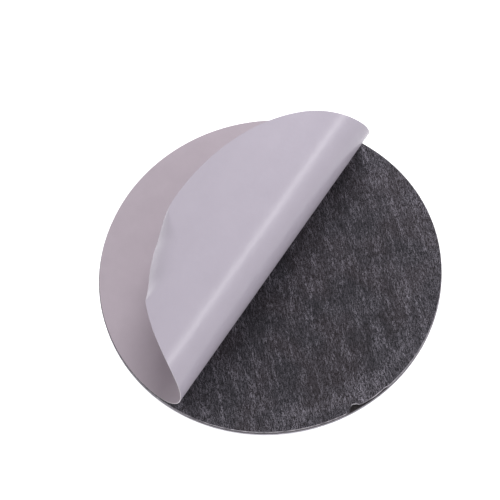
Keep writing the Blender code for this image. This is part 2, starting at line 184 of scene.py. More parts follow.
# How far the pieces' edges are rounded
TAPE_ROUNDING = 0.00009
PLATE_ROUNDING = 0.00025
KINGPIN_ROUNDING = 0.00012
FORK_ROUNDING = 0.00012
CAGE_ROUNDING = 0.00005
BOLT_ROUNDING = 0.00008
NUT_ROUNDING = 0.00005
BUSH_ROUNDING = 0.00010
HUB_ROUNDING = 0.00018

# Fineness of the meshes
PAPER_ROWS = 220
PAPER_COLUMNS = 130
RIM_FACETS = 360
PLATE_FACETS = 144
ROUND_FACETS = 72
POCKET_FACETS = 48
WEB_HOLE_FACETS = 36
BALL_CUTS = 7
ARC_STEPS = 10
TREAD_STEPS = 40
FORK_COLUMNS = 44
CROWN_ROWS = 40
BEND_ROWS = 10
LEG_ROWS = 40
SMOOTH_ANGLE = math.radians(35.0)
CRISP_ANGLE = math.radians(22.0)
BEVEL_ANGLE = math.radians(40.0)
FACE_UP = 0.999
MERGE_DISTANCE = 1e-6
CUT_PAST = 0.0010

# Spans of a noise or of a distance, and what they are drawn out to
WHOLE = (0.0, 1.0)
FADING = (1.0, 0.0)
SOFT_SPAN = (0.30, 0.70)
CLEAR_SPAN = (0.35, 0.65)

# Paper: the sizes of its clouds, pulp and waves, and how much of its tone is clouds
PAPER_CLOUD = 0.0045
PAPER_PULP = 0.00035
PAPER_WAVE = 0.0014
PAPER_CLOUD_SHARE = 0.9

# Fibres of the tape, their clumps and the specks between: how long and wide they look, and their way
FIBRE_TURN = math.radians(44.0)
FIBRE_LENGTH = 0.00078
FIBRE_WIDTH = 0.00018
FIBRE_SHARE = 0.6
CLUMP_LENGTH = 0.0040
CLUMP_WIDTH = 0.0009
CLUMP_SPAN = (0.40, 0.78)
CLUMP_POWER = 1.5
SPECK = 0.00017

# Lint that the fibres make: its patches, its relief, how it dulls the adhesive, and the warmer patches
LINT_PATCH = 0.0085
LINT_PATCH_SPAN = (0.36, 0.66)
LINT_IN_PATCHES = (0.20, 0.34)
LINT_SPAN = (0.44, 0.67)
LINT_ROUGHNESS = (0.58, 0.75)
LINT_RELIEF = 0.00003
WARM_PATCH = 0.0060
WARM_SPAN = (0.40, 0.62)

# Where more lint lies on the tape: towards its rim, in a scuffed arc beside the rim, and by the nick
RIM_LINT_FROM = 0.0235
RIM_LINT = 0.20
SCUFF_RADIUS = 0.0273
SCUFF_WIDTH = 0.0013
SCUFF_ANGLE = math.radians(-114.0)
SCUFF_NEAR = 0.007
SCUFF_FAR = 0.017
SCUFF_LINT = 0.40
FRAY_RADIUS = 0.0294
FRAY_ANGLE = math.radians(-113.6)
FRAY_REACH = 0.0021
FRAY_LINT = 0.55

# The tape's cut edge: its nap, and the painted shade on it at one end of the nick, where the nick's wall
# lies in shade
NAP = 0.0012
NAP_RELIEF = 0.00004
NICK_SHADE_RADIUS = 0.0296
NICK_SHADE_ANGLE = math.radians(-119.5)
NICK_SHADE_NEAR = 0.0005
NICK_SHADE_FAR = 0.0011

# Foam and bond film
FOAM_CELL = 0.00022
FOAM_RELIEF = 0.00012
BOND_HAZE = 0.0012
BOND_RELIEF = 0.00003

# Plated metal: its clouds, its dull specks and how rough they make it
PLATING_CLOUD = 0.0035
PLATING_CLOUD_SHARE = 0.4
PLATING_SPECK = 0.00025
PLATING_SPECK_SPAN = (0.62, 0.74)
SPECK_DULLING = 0.35
SPECK_ROUGHER = 0.12
DULL_ROUGHER = 0.05
BRIGHT_SMOOTHER = 0.04
MARK_RELIEF = 0.000012

# Moulded plastic and rubber
MOULD_TEXTURE = 0.00020
MOULD_TEXTURE_SHARE = 0.4
MOULD_CLOUD = 0.0030
MOULD_UNEVENNESS = 0.07

# Studio
AMBIENT = 0.26
FLOOR_SIZE = 4.0
FLOOR_GLOW = (0.70, 0.80)
FLOOR_GLOW_REACH = (0.06, 0.50)

record = frame["record"]
joints = {joint["name"]: joint for joint in frame["joints"]}
body_of = {node: body for body, nodes in record["behaviour"]["bodies"].items() for node in nodes}
axle = Vector(joints["wheel_roll"]["pos_m"])

tape_low, tape_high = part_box("tissue_tape")
tape_thickness = tape_high.z - tape_low.z
pad_radius = tape_high.x
ball_radius = BALL_DIAMETER / 2
groove_radius = ball_radius + BALL_CLEARANCE
cage_low, cage_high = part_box("ball_cage")
ball_z = (cage_low.z + cage_high.z) / 2
race_radius = cage_high.x - groove_radius - CAGE_WALL
kingpin_radius = KINGPIN_DIAMETER / 2
kingpin_hole = kingpin_radius + KINGPIN_CLEARANCE
axle_radius = AXLE_DIAMETER / 2
axle_hole = axle_radius + AXLE_CLEARANCE
sleeve_radius = axle_hole + SLEEVE_WALL
bush_bore = sleeve_radius + RUNNING_CLEARANCE
bush_radius = bush_bore + BUSH_WALL
hub_bore = bush_radius + SEAT_GAP
fork_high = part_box("fork")[1]
hex_radius = HEX_FLATS / 2 / math.cos(math.pi / HEX_SIDES)


def deselect():
    bpy.ops.object.select_all(action="DESELECT")


def take(piece):
    """Makes one piece the selected and active one."""
    deselect()
    piece.select_set(True)
    bpy.context.view_layer.objects.active = piece


def settle(piece):
    """Puts the piece's place, turn and scale into its mesh."""
    take(piece)
    bpy.ops.object.transform_apply(location=True, rotation=True, scale=True)


def just_added(name):
    """The primitive that was just added, named and with its place in its mesh."""
    piece = bpy.context.object
    piece.name = name
    piece.data.name = name
    settle(piece)
    return piece


def edit(piece):
    """Opens the piece's mesh with all of it selected."""
    take(piece)
    bpy.ops.object.mode_set(mode="EDIT")
    bpy.ops.mesh.select_all(action="SELECT")


def close_edit():
    """Merges what meets, turns the faces outwards and leaves edit mode."""
    bpy.ops.mesh.select_all(action="SELECT")
    bpy.ops.mesh.remove_doubles(threshold=MERGE_DISTANCE)
    bpy.ops.mesh.normals_make_consistent(inside=False)
    bpy.ops.object.mode_set(mode="OBJECT")


def turned(name, profile, facets, solid=False):
    """A circle drawn out along points of (radius, height). A solid is capped, a ring closes on itself."""
    first_radius, first_height = profile[0]
    deselect()
    bpy.ops.mesh.primitive_circle_add(
        vertices=facets, radius=first_radius, location=(0, 0, first_height)
    )
    piece = just_added(name)
    edit(piece)
    route = profile if solid else profile + profile[:1]
    for (start, low), (end, high) in zip(route, route[1:]):
        bpy.ops.mesh.extrude_edges_move(TRANSFORM_OT_translate={"value": (0, 0, high - low)})
        share = end / start
        bpy.ops.transform.resize(value=(share, share, 1), center_override=(0, 0, high))
    if solid:
        bpy.ops.mesh.select_all(action="SELECT")
        bpy.ops.mesh.fill_holes(sides=0)
    close_edit()
    return piece


def ring(inner, outer, low, high):
    return [(outer, high), (outer, low), (inner, low), (inner, high)]


def arc(center, radius, start, end):
    """Points on a circle from one angle to another, in radians."""
    angles = [start + (end - start) * i / ARC_STEPS for i in range(ARC_STEPS + 1)]
    return [(center[0] + radius * math.cos(a), center[1] + radius * math.sin(a)) for a in angles]


def rod(name, radius, length, facets, middle=(0, 0, 0), turn=(0, 0, 0)):
    """A plain rod to cut or join with."""
    deselect()
    bpy.ops.mesh.primitive_cylinder_add(
        vertices=facets, radius=radius, depth=length, location=middle, rotation=turn
    )
    return just_added(name)


def apply_modifier(piece, modifier):
    take(piece)
    bpy.ops.object.modifier_apply(modifier=modifier.name)


def join(piece, operation, other):
    """Cuts, joins or intersects a piece with another, which is used up."""
    cut = piece.modifiers.new("cut", "BOOLEAN")
    cut.operation = operation
    cut.solver = "EXACT"
    cut.object = other
    apply_modifier(piece, cut)
    bpy.data.objects.remove(other, do_unlink=True)


def round_edges(piece, width, segments=3):
    """Rounds a piece's sharp edges, once points that meet are merged."""
    edit(piece)
    close_edit()
    bevel = piece.modifiers.new("round edges", "BEVEL")
    bevel.width = width
    bevel.segments = segments
    bevel.limit_method = "ANGLE"
    bevel.angle_limit = BEVEL_ANGLE
    apply_modifier(piece, bevel)


def onto_axle(piece, mirrored=False):
    """Turns a piece from the Z axis to the axle, its top to the right or, mirrored, to the left."""
    quarter = -math.pi / 2 if mirrored else math.pi / 2
    piece.rotation_euler = (0, quarter, 0)
    piece.location = axle
    settle(piece)


def dress(piece, node, *finishes, smooth=SMOOTH_ANGLE):
    """Gives a piece its finish, and puts it in its node's place on its node's body."""
    take(piece)
    bpy.ops.object.shade_smooth_by_angle(angle=smooth)
    for finish in finishes:
        piece.data.materials.append(finish)
    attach(piece, body_of[node])
    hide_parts(node)


def paint(red, green, blue):
    """A colour as it looks, in steps of 0 to 255, made linear for the shader."""
    shares = [step / 255 for step in (red, green, blue)]
    linear = [s / 12.92 if s <= 0.04045 else ((s + 0.055) / 1.055) ** 2.4 for s in shares]
    return (*linear, 1.0)


def add(tree, kind, inputs, **settings):
    """A shader node with its settings, its inputs set or linked."""
    node = tree.nodes.new(kind)
    for key, value in settings.items():
        setattr(node, key, value)
    for key, value in inputs.items():
        if isinstance(value, bpy.types.NodeSocket):
            tree.links.new(value, node.inputs[key])
        else:
            node.inputs[key].default_value = value
    return node


def start_finish(name, roughness, metallic=0.0, specular=0.5):
    """A new material, with its node tree and its shader."""
    made = bpy.data.materials.new(name)
    made.use_nodes = True
    shader = made.node_tree.nodes["Principled BSDF"]
    shader.inputs["Roughness"].default_value = roughness
    shader.inputs["Metallic"].default_value = metallic
    shader.inputs["Specular IOR Level"].default_value = specular
    return made, made.node_tree, shader


def grain(tree, size, turn=0.0, detail=2.0, roughness=0.5, warp=0.0, shift=0.0):
    """Noise over the piece, its grains one length across, or three along X, Y and Z, turned about Z.

    The shift moves the noise, so that two grains of one finish aren't alike.
    """
    lengths = size if isinstance(size, tuple) else (size,) * 3
    place = add(tree, "ShaderNodeTexCoord", {}).outputs["Object"]
    laid = {"Vector": place, "Location": (shift,) * 3, "Rotation": (0, 0, turn), "Scale": lengths}
    mapping = add(tree, "ShaderNodeMapping", laid, vector_type="TEXTURE")
    made = {"Vector": mapping.outputs["Vector"], "Scale": 1.0, "Detail": detail}
    made.update({"Roughness": roughness, "Distortion": warp})
    return add(tree, "ShaderNodeTexNoise", made).outputs["Fac"]


def spread(tree, value, span, onto=WHOLE):
    """A value stretched from one span onto another, and held at its ends."""
    inputs = {"Value": value, "From Min": span[0], "From Max": span[1]}
    inputs.update({"To Min": onto[0], "To Max": onto[1]})
    return add(tree, "ShaderNodeMapRange", inputs).outputs["Result"]


def combine(tree, operation, first, second):
    return add(tree, "ShaderNodeMath", {0: first, 1: second}, operation=operation).outputs["Value"]


def mixed(tree, first, second, share):
    """Two values added up, the first by its share and the second by the rest."""
    first = combine(tree, "MULTIPLY", first, share)
    second = combine(tree, "MULTIPLY", second, 1 - share)
    return combine(tree, "ADD", first, second)


def tint(tree, share, first, second):
    """One colour going over into another: inputs 6 and 7 and output 2 of the mix are its colours."""
    node = add(tree, "ShaderNodeMix", {0: share, 6: first, 7: second}, data_type="RGBA")
    return node.outputs[2]


def relief(tree, shader, height, depth):
    bump = add(tree, "ShaderNodeBump", {"Height": height, "Distance": depth, "Strength": 1.0})
    tree.links.new(bump.outputs["Normal"], shader.inputs["Normal"])


def distance_from(tree, radius, angle):
    """How far a place of the piece lies from the point at a radius and an angle round its origin."""
    place = add(tree, "ShaderNodeTexCoord", {}).outputs["Object"]
    point = (radius * math.cos(angle), radius * math.sin(angle), 0.0)
    node = add(tree, "ShaderNodeVectorMath", {0: place, 1: point}, operation="DISTANCE")
    return node.outputs["Value"]


def paper_finish(name, dark, light, roughness, dulling, wave_depth):
    """Dense paper: faintly cloudy, with a fine pulp that dulls it in spots, and not quite even."""
    made, tree, shader = start_finish(name, roughness)
    clouds = grain(tree, PAPER_CLOUD, detail=4.0, roughness=0.6)
    pulp = grain(tree, PAPER_PULP, detail=3.0, shift=0.013)
    tone = mixed(tree, clouds, pulp, PAPER_CLOUD_SHARE)
    color = tint(tree, spread(tree, tone, CLEAR_SPAN), dark, light)
    tree.links.new(color, shader.inputs["Base Color"])
    rough = spread(tree, pulp, SOFT_SPAN, (roughness - dulling, roughness + dulling))
    tree.links.new(rough, shader.inputs["Roughness"])
    waves = grain(tree, PAPER_WAVE, detail=2.0, shift=0.029)
    relief(tree, shader, waves, wave_depth)
    return made


def rim_lint(tree):
    """How much more lint a place of the tape has, by where it lies on the disc."""
    radius = distance_from(tree, 0.0, 0.0)
    towards_rim = spread(tree, radius, (RIM_LINT_FROM, pad_radius), (0.0, RIM_LINT))
    off_arc = combine(tree, "ABSOLUTE", combine(tree, "SUBTRACT", radius, SCUFF_RADIUS), 0.0)
    on_arc = spread(tree, off_arc, (0.0, SCUFF_WIDTH), (SCUFF_LINT, 0.0))
    off_scuff = distance_from(tree, SCUFF_RADIUS, SCUFF_ANGLE)
    along_arc = spread(tree, off_scuff, (SCUFF_NEAR, SCUFF_FAR), FADING)
    scuffed = combine(tree, "MULTIPLY", on_arc, along_arc)
    off_fray = distance_from(tree, FRAY_RADIUS, FRAY_ANGLE)
    frayed = spread(tree, off_fray, (0.0, FRAY_REACH), (FRAY_LINT, 0.0))
    return combine(tree, "ADD", towards_rim, combine(tree, "ADD", scuffed, frayed))


def tape_face_finish():
    """Dark adhesive over a tissue: pale lint lies in it, mostly one way, in clumps and wider patches."""
    made, tree, shader = start_finish("tape_charcoal", roughness=0.62, specular=0.18)
    patches = grain(tree, LINT_PATCH, detail=2.0)
    patches = spread(tree, patches, LINT_PATCH_SPAN, LINT_IN_PATCHES)
    clump_size = (CLUMP_LENGTH, CLUMP_WIDTH, CLUMP_WIDTH)
    clumps = grain(tree, clump_size, FIBRE_TURN, detail=3.0, roughness=0.6, warp=0.6, shift=0.031)
    clumps = combine(tree, "POWER", spread(tree, clumps, CLUMP_SPAN), CLUMP_POWER)
    amount = combine(tree, "ADD", combine(tree, "ADD", patches, clumps), rim_lint(tree))
    fibre_size = (FIBRE_LENGTH, FIBRE_WIDTH, FIBRE_WIDTH)
    fibres = grain(tree, fibre_size, FIBRE_TURN, detail=2.0, roughness=0.7, warp=0.5)
    specks = grain(tree, SPECK, detail=1.0, shift=0.007)
    lint = spread(tree, mixed(tree, fibres, specks, FIBRE_SHARE), LINT_SPAN)
    lint = combine(tree, "MULTIPLY", lint, amount)
    warmth = spread(tree, grain(tree, WARM_PATCH, detail=1.0, shift=0.057), WARM_SPAN)
    adhesive = tint(tree, warmth, paint(26, 25, 29), paint(32, 27, 30))
    color = tint(tree, lint, adhesive, paint(163, 158, 170))
    tree.links.new(color, shader.inputs["Base Color"])
    rough = spread(tree, lint, WHOLE, LINT_ROUGHNESS)
    tree.links.new(rough, shader.inputs["Roughness"])
    relief(tree, shader, lint, LINT_RELIEF)
    return made


def tape_edge_finish():
    """The tape's cut edge: pale tissue, partly a painted highlight of the edge, and painted shade at one
    end of the nick.
    """
    made, tree, shader = start_finish("tape_cut_edge", roughness=0.7, specular=0.3)
    nap = grain(tree, NAP, detail=4.0, roughness=0.7)
    # The edge's pale colour is partly the tissue's own and partly a painted highlight, as of the cut edge
    # catching light
    color = tint(tree, spread(tree, nap, CLEAR_SPAN), paint(103, 99, 106), paint(193, 188, 196))
    # Painted shade: the cut edge turns dark near one end of the nick, where the nick's wall lies in shade
    off_nick_shade = distance_from(tree, NICK_SHADE_RADIUS, NICK_SHADE_ANGLE)
    pressed = spread(tree, off_nick_shade, (NICK_SHADE_NEAR, NICK_SHADE_FAR), FADING)
    color = tint(tree, pressed, color, paint(58, 55, 60))
    tree.links.new(color, shader.inputs["Base Color"])
    relief(tree, shader, nap, NAP_RELIEF)
    return made


def foam_finish():
    made, tree, shader = start_finish("foam_black", roughness=0.9, specular=0.2)
    cells = grain(tree, FOAM_CELL, detail=2.0, roughness=0.7)
    color = tint(tree, spread(tree, cells, CLEAR_SPAN), paint(28, 25, 27), paint(56, 52, 54))
    tree.links.new(color, shader.inputs["Base Color"])
    relief(tree, shader, cells, FOAM_RELIEF)
    return made


def bond_finish():
    made, tree, shader = start_finish("bond_film", roughness=0.5, specular=0.5)
    haze = grain(tree, BOND_HAZE, detail=3.0)
    color = tint(tree, spread(tree, haze, SOFT_SPAN), paint(193, 188, 198), paint(217, 212, 222))
    tree.links.new(color, shader.inputs["Base Color"])
    relief(tree, shader, haze, BOND_RELIEF)
    return made


def metal_finish(name, dull, bright, roughness, streak, turn=0.0):
    """Plated metal: fine rolling marks along one way, cloudy plating and small dull specks."""
    made, tree, shader = start_finish(name, roughness, metallic=1.0)
    marks = grain(tree, streak, turn, detail=3.0, roughness=0.6)
    clouds = grain(tree, PLATING_CLOUD, detail=4.0, roughness=0.6, shift=0.021)
    specks = grain(tree, PLATING_SPECK, detail=2.0, shift=0.043)
    specks = spread(tree, specks, PLATING_SPECK_SPAN)
    tone = mixed(tree, clouds, marks, PLATING_CLOUD_SHARE)
    color = tint(tree, spread(tree, tone, SOFT_SPAN), dull, bright)
    color = tint(tree, combine(tree, "MULTIPLY", specks, SPECK_DULLING), color, dull)
    tree.links.new(color, shader.inputs["Base Color"])
    rough = spread(tree, tone, SOFT_SPAN, (roughness + DULL_ROUGHER, roughness - BRIGHT_SMOOTHER))
    rough = combine(tree, "ADD", rough, combine(tree, "MULTIPLY", specks, SPECK_ROUGHER))
    tree.links.new(rough, shader.inputs["Roughness"])
    relief(tree, shader, marks, MARK_RELIEF)
    return made


def moulded_finish(name, dark, light, roughness, relief_depth):
    """Moulded plastic or rubber: a fine matt texture with a little cloudiness."""
    made, tree, shader = start_finish(name, roughness)
    texture = grain(tree, MOULD_TEXTURE, detail=3.0, roughness=0.6)
    clouds = grain(tree, MOULD_CLOUD, detail=3.0, shift=0.017)
    tone = mixed(tree, texture, clouds, MOULD_TEXTURE_SHARE)
    color = tint(tree, spread(tree, tone, CLEAR_SPAN), dark, light)
    tree.links.new(color, shader.inputs["Base Color"])
    uneven = (roughness - MOULD_UNEVENNESS, roughness + MOULD_UNEVENNESS)
    tree.links.new(spread(tree, tone, SOFT_SPAN, uneven), shader.inputs["Roughness"])
    relief(tree, shader, texture, relief_depth)
    return made


def peel_point(distance):
    """Where the paper lies at a distance past the line where it lifts, as travel and height."""
    travel = 0.0
    height = 0.0
    heading = 0.0
    arcs = (
        (LEAD_RADIUS, LEAD_RADIUS * math.radians(LEAD_SWEEP)),
        (ROLL_RADIUS, ROLL_RADIUS * math.radians(ROLL_SWEEP)),
        (SHOULDER_RADIUS, SHOULDER_RADIUS * math.radians(SHOULDER_SWEEP)),
        (TAIL_RADIUS, math.inf),
    )
    for radius, length in arcs:
        step = min(distance, length)
        new_heading = heading + step / radius
        travel += radius * (math.sin(new_heading) - math.sin(heading))
        height += radius * (math.cos(heading) - math.cos(new_heading))
        heading = new_heading
        distance -= step
    return travel, height


def pinch(across, from_middle):
    """How much a point of the flat paper is curled: the curl widens from a sharp crease, then fades."""
    angle = math.degrees(math.atan2(across, from_middle))
    if not PINCH_END < angle < PINCH_CREASE:
        return 0.0
    widening = 1 - (1 - min(1.0, (PINCH_CREASE - angle) / PINCH_RUN)) ** 2
    fading = min(1.0, (angle - PINCH_END) / PINCH_FADE)
    reach = PINCH_REACH * widening * fading**2 * (3 - 2 * fading)
    inward = max(0.0, 1 - (PAPER_RADIUS - math.hypot(across, from_middle)) / reach)
    return reach * inward**2


def release_liner(plain, coated, cut_edge):
    """Round paper: a grid drawn in to a disc, rolled back along the peel and pinched at one place."""
    shape = bmesh.new()
    bmesh.ops.create_grid(shape, x_segments=PAPER_COLUMNS, y_segments=PAPER_ROWS, size=1.0)
    for vert in shape.verts:
        row_angle = math.pi * (1 - vert.co.y) / 2
        across = vert.co.x * PAPER_RADIUS * math.sin(row_angle)
        from_middle = PAPER_RADIUS * math.cos(row_angle)
        pinched = pinch(across, from_middle)
        drawn = 1 - PINCH_DRAW * pinched / PAPER_RADIUS
        across *= drawn
        flat_place = from_middle * drawn - PAPER_FORWARD
        travel, height = peel_point(max(0.0, PEEL_START - flat_place))
        lies_at = max(flat_place, PEEL_START) - travel
        vert.co = (across + PAPER_ASIDE, lies_at, height + SEAT_GAP - PINCH_DROP * pinched)
    bmesh.ops.remove_doubles(shape, verts=shape.verts, dist=MERGE_DISTANCE)
    mesh = bpy.data.meshes.new("peeled_liner")
    shape.to_mesh(mesh)
    shape.free()
    piece = bpy.data.objects.new("peeled_liner", mesh)
    bpy.context.scene.collection.objects.link(piece)
    paper = piece.modifiers.new("paper", "SOLIDIFY")
    paper.thickness = PAPER_THICKNESS
    paper.offset = 1.0
    paper.material_offset = 1
    paper.material_offset_rim = 2
    for finish in (plain, coated, cut_edge):
        mesh.materials.append(finish)
    apply_modifier(piece, paper)
    dress(piece, "release_liner")
    return piece


def nick_outline():
    """The worn rim along the nick, and the way back outside the tape, by angle and radius."""
    worn = []
    for (start, deep), (end, deep_end) in zip(NICK, NICK[1:]):
        steps = max(1, round((end - start) / NICK_STEP))
        for step in range(steps):
            share = step / steps
            depth = deep + share * (deep_end - deep)
            worn.append((start + share * (end - start), pad_radius - depth))
    last_angle, last_depth = NICK[-1]
    worn.append((last_angle, pad_radius - last_depth))
    outside = [(angle, pad_radius + NICK_PAST) for angle, _ in reversed(worn)]
    return worn + outside


def nick_cutter():
    """The strip that the nick's outline encloses, taller than the tape."""
    outline = nick_outline()
    deselect()
    bpy.ops.mesh.primitive_circle_add(vertices=len(outline), radius=pad_radius, fill_type="NGON")
    cutter = just_added("nick")
    for vert, (angle, radius) in zip(cutter.data.vertices, outline):
        turn = math.radians(angle)
        vert.co = (radius * math.cos(turn), radius * math.sin(turn), tape_low.z - CUT_PAST)
    edit(cutter)
    height = tape_thickness + 2 * CUT_PAST
    bpy.ops.mesh.extrude_region_move(TRANSFORM_OT_translate={"value": (0, 0, height)})
    close_edit()
    return cutter


def tape(face, edge):
    """The sticky disc, nicked at one place of its rim, its cut edge paler than its face."""
    deselect()
    bpy.ops.mesh.primitive_circle_add(
        vertices=RIM_FACETS, radius=pad_radius, fill_type="NGON", location=(0, 0, tape_low.z)
    )
    piece = just_added("sticky_face")
    edit(piece)
    bpy.ops.mesh.extrude_region_move(TRANSFORM_OT_translate={"value": (0, 0, tape_thickness)})
    close_edit()
    join(piece, "DIFFERENCE", nick_cutter())
    round_edges(piece, TAPE_ROUNDING, segments=2)
    dress(piece, "tissue_tape", face, edge)
    for polygon in piece.data.polygons:
        polygon.material_index = 0 if polygon.normal.z > FACE_UP else 1
    return piece


def pad_layers(foam, bond):
    """Foam and bond film: discs whose sides swell a little between their faces."""
    for node, name, finish, inset, swell in (
        ("foam_pad", "foam_layer", foam, FOAM_INSET, FOAM_SWELL),
        ("bond_film", "bond_layer", bond, -BOND_OUTSET, BOND_SWELL),
    ):
        low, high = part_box(node)
        half = (high.z - low.z) / 2
        middle = (low.z + high.z) / 2
        levels = [1 - 2 * i / ARC_STEPS for i in range(ARC_STEPS + 1)]
        profile = [(pad_radius - inset - swell * level**2, middle + half * level) for level in levels]
        piece = turned(name, profile, RIM_FACETS, solid=True)
        dress(piece, node, finish)


def steel_plate(finish):
    """A pressed disc: its dished middle holds the rivet's head, with a ball groove pressed up in it."""
    low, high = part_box("mounting_plate")
    rim = high.x
    dish_under = low.z
    dish_top = dish_under + PLATE_THICKNESS
    under = high.z - PLATE_THICKNESS
    ridge_radius = groove_radius + PLATE_THICKNESS
    groove_lift = math.asin((dish_under - ball_z) / groove_radius)
    ridge_lift = math.asin((dish_top - ball_z) / ridge_radius)
    floor_edge = race_radius + ridge_radius * math.cos(ridge_lift) + DISH_MARGIN
    wall_edge = floor_edge + DISH_WALL_RUN
    center = (race_radius, ball_z)
    profile = [(rim, high.z), (rim, under), (wall_edge, under), (floor_edge, dish_under)]
    profile += arc(center, groove_radius, groove_lift, math.pi - groove_lift)
    profile += [(kingpin_hole, dish_under), (kingpin_hole, dish_top)]
    profile += arc(center, ridge_radius, math.pi - ridge_lift, ridge_lift)
    profile += [(floor_edge, dish_top), (wall_edge, high.z)]
    piece = turned("steel_plate", profile, PLATE_FACETS)
    round_edges(piece, PLATE_ROUNDING)
    dress(piece, "mounting_plate", finish)


def rivet(finish):
    """The kingpin: a flat head in the plate's dish, and a tail peened to a dome under the fork."""
    low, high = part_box("kingpin")
    head_under = high.z - HEAD_HEIGHT
    tail_top = low.z + TAIL_HEIGHT
    tail_radius = kingpin_radius + TAIL_OVERHANG
    cap = tail_radius * RIVET_CAP_SHARE
    dome = arc((tail_radius - TAIL_DOME, low.z + TAIL_DOME), TAIL_DOME, 0, -math.pi / 2)
    profile = [(cap, high.z), (high.x, high.z), (high.x, head_under), (kingpin_radius, head_under)]
    profile += [(kingpin_radius, tail_top), (tail_radius, tail_top)] + dome + [(cap, low.z)]
    piece = turned("kingpin_rivet", profile, ROUND_FACETS, solid=True)
    round_edges(piece, KINGPIN_ROUNDING)
    dress(piece, "kingpin", finish)


def kingpin_washers(nylon, zinc):
    """The nylon washer under the fork's crown and the steel one over the rivet's tail."""
    for node, name, finish in (
        ("thrust_washer", "nylon_thrust_ring", nylon),
        ("rivet_washer", "steel_rivet_ring", zinc),
    ):
        low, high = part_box(node)
        piece = turned(name, ring(kingpin_hole, high.x, low.z, high.z), ROUND_FACETS)
        round_edges(piece, KINGPIN_ROUNDING)
        dress(piece, node, finish)


def race_places():
    """The middles of the balls."""
    angles = [math.tau * i / BALL_COUNT for i in range(BALL_COUNT)]
    return [Vector((race_radius * math.cos(a), race_radius * math.sin(a), ball_z)) for a in angles]


def brass_cage(finish):
    """A flat ring with a round pocket for each ball."""
    profile = ring(2 * race_radius - cage_high.x, cage_high.x, cage_low.z, cage_high.z)
    piece = turned("ball_ring", profile, PLATE_FACETS)
    pocket_height = cage_high.z - cage_low.z + CUT_PAST
    # Half a facet's turn keeps the corners of a pocket off the ring's own edges
    half_facet = (0, 0, math.pi / POCKET_FACETS)
    for place in race_places():
        pocket = rod("pocket", groove_radius, pocket_height, POCKET_FACETS, place, half_facet)
        join(piece, "DIFFERENCE", pocket)
    round_edges(piece, CAGE_ROUNDING, segments=2)
    dress(piece, "ball_cage", finish)


def bearing_balls(finish):
    """A cube cut finely and blown out to a ball, then copied round the race."""
    deselect()
    bpy.ops.mesh.primitive_cube_add(size=BALL_DIAMETER)
    first = just_added("race_ball")
    edit(first)
    bpy.ops.mesh.subdivide(number_cuts=BALL_CUTS)
    bpy.ops.mesh.select_all(action="SELECT")
    bpy.ops.transform.tosphere(value=1.0)
    close_edit()
    reach = max(vert.co.length for vert in first.data.vertices)
    for vert in first.data.vertices:
        vert.co *= ball_radius / reach
    for number, place in enumerate(race_places(), start=1):
        ball = first.copy()
        ball.data = first.data.copy()
        ball.name = f"race_ball_{number}"
        bpy.context.scene.collection.objects.link(ball)
        ball.location = place
        settle(ball)
        dress(ball, f"bearing_ball_{number}", finish)
    bpy.data.objects.remove(first, do_unlink=True)


def tangent_angle(point, center, radius, side):
    """The angle on a circle where a line from an outside point touches it, on one side."""
    reach = Vector(point) - Vector(center)
    return math.atan2(reach.y, reach.x) + side * math.acos(radius / reach.length)


def fork_point(row, share):
    """A point of the fork's outer face: rows go from the crown's middle to a leg's end, shares across."""
    half_top = LEG_TOP_WIDTH / 2
    outer_bend = FORK_INNER_BEND + FORK_THICKNESS
    bend_x = fork_high.x - outer_bend
    bend_z = fork_high.z - outer_bend
    if row <= CROWN_ROWS + BEND_ROWS:
        if row <= CROWN_ROWS:
            x = bend_x * row / CROWN_ROWS
            z = fork_high.z
        else:
            turn = math.pi / 2 * (row - CROWN_ROWS) / BEND_ROWS
            x = bend_x + outer_bend * math.sin(turn)
            z = bend_z + outer_bend * math.cos(turn)
        half = max(half_top, math.sqrt(fork_high.y**2 - x**2))
        y = half * share
        from_ball = math.hypot(x, y) - race_radius
        if abs(from_ball) < groove_radius:
            z -= max(0.0, math.sqrt(groove_radius**2 - from_ball**2) - (ball_z - fork_high.z))
        return x, y, z
    down = (row - CROWN_ROWS - BEND_ROWS) / LEG_ROWS
    boss = (axle.y, axle.z)
    rear = tangent_angle((half_top, bend_z), boss, AXLE_BOSS_RADIUS, -1)
    front = tangent_angle((-half_top, bend_z), boss, AXLE_BOSS_RADIUS, 1) - math.tau
    turn = front + (rear - front) * (share + 1) / 2
    top_y = half_top * share
    end_y = axle.y + AXLE_BOSS_RADIUS * math.cos(turn)
    end_z = axle.z + AXLE_BOSS_RADIUS * math.sin(turn)
    return fork_high.x, top_y + (end_y - top_y) * down, bend_z + (end_z - bend_z) * down


def pressed_fork(finish):
    """A strip with a round crown and two legs drawn in to the axle, beaded for the balls and pierced."""
    rows = CROWN_ROWS + BEND_ROWS + LEG_ROWS
    deselect()
    bpy.ops.mesh.primitive_grid_add(x_subdivisions=2 * rows, y_subdivisions=FORK_COLUMNS, size=2.0)
    piece = just_added("pressed_fork")
    for vert in piece.data.vertices:
        x, y, z = fork_point(round(abs(vert.co.x) * rows), vert.co.y)
        vert.co = (math.copysign(x, vert.co.x), y, z)
    sheet = piece.modifiers.new("sheet", "SOLIDIFY")
    sheet.thickness = FORK_THICKNESS
    sheet.offset = -1.0
    sheet.use_even_offset = True
    apply_modifier(piece, sheet)
    round_edges(piece, FORK_ROUNDING, segments=2)
    pin_hole_length = 4 * FORK_THICKNESS
    pin_hole = rod("pin_hole", kingpin_hole, pin_hole_length, ROUND_FACETS, (0, 0, fork_high.z))
    join(piece, "DIFFERENCE", pin_hole)
    bolt_hole_length = 2 * fork_high.x + CUT_PAST
    across = (0, math.pi / 2, 0)
    bolt_hole = rod("bolt_hole", axle_hole, bolt_hole_length, ROUND_FACETS, axle, across)
    join(piece, "DIFFERENCE", bolt_hole)
    dress(piece, "fork", finish)


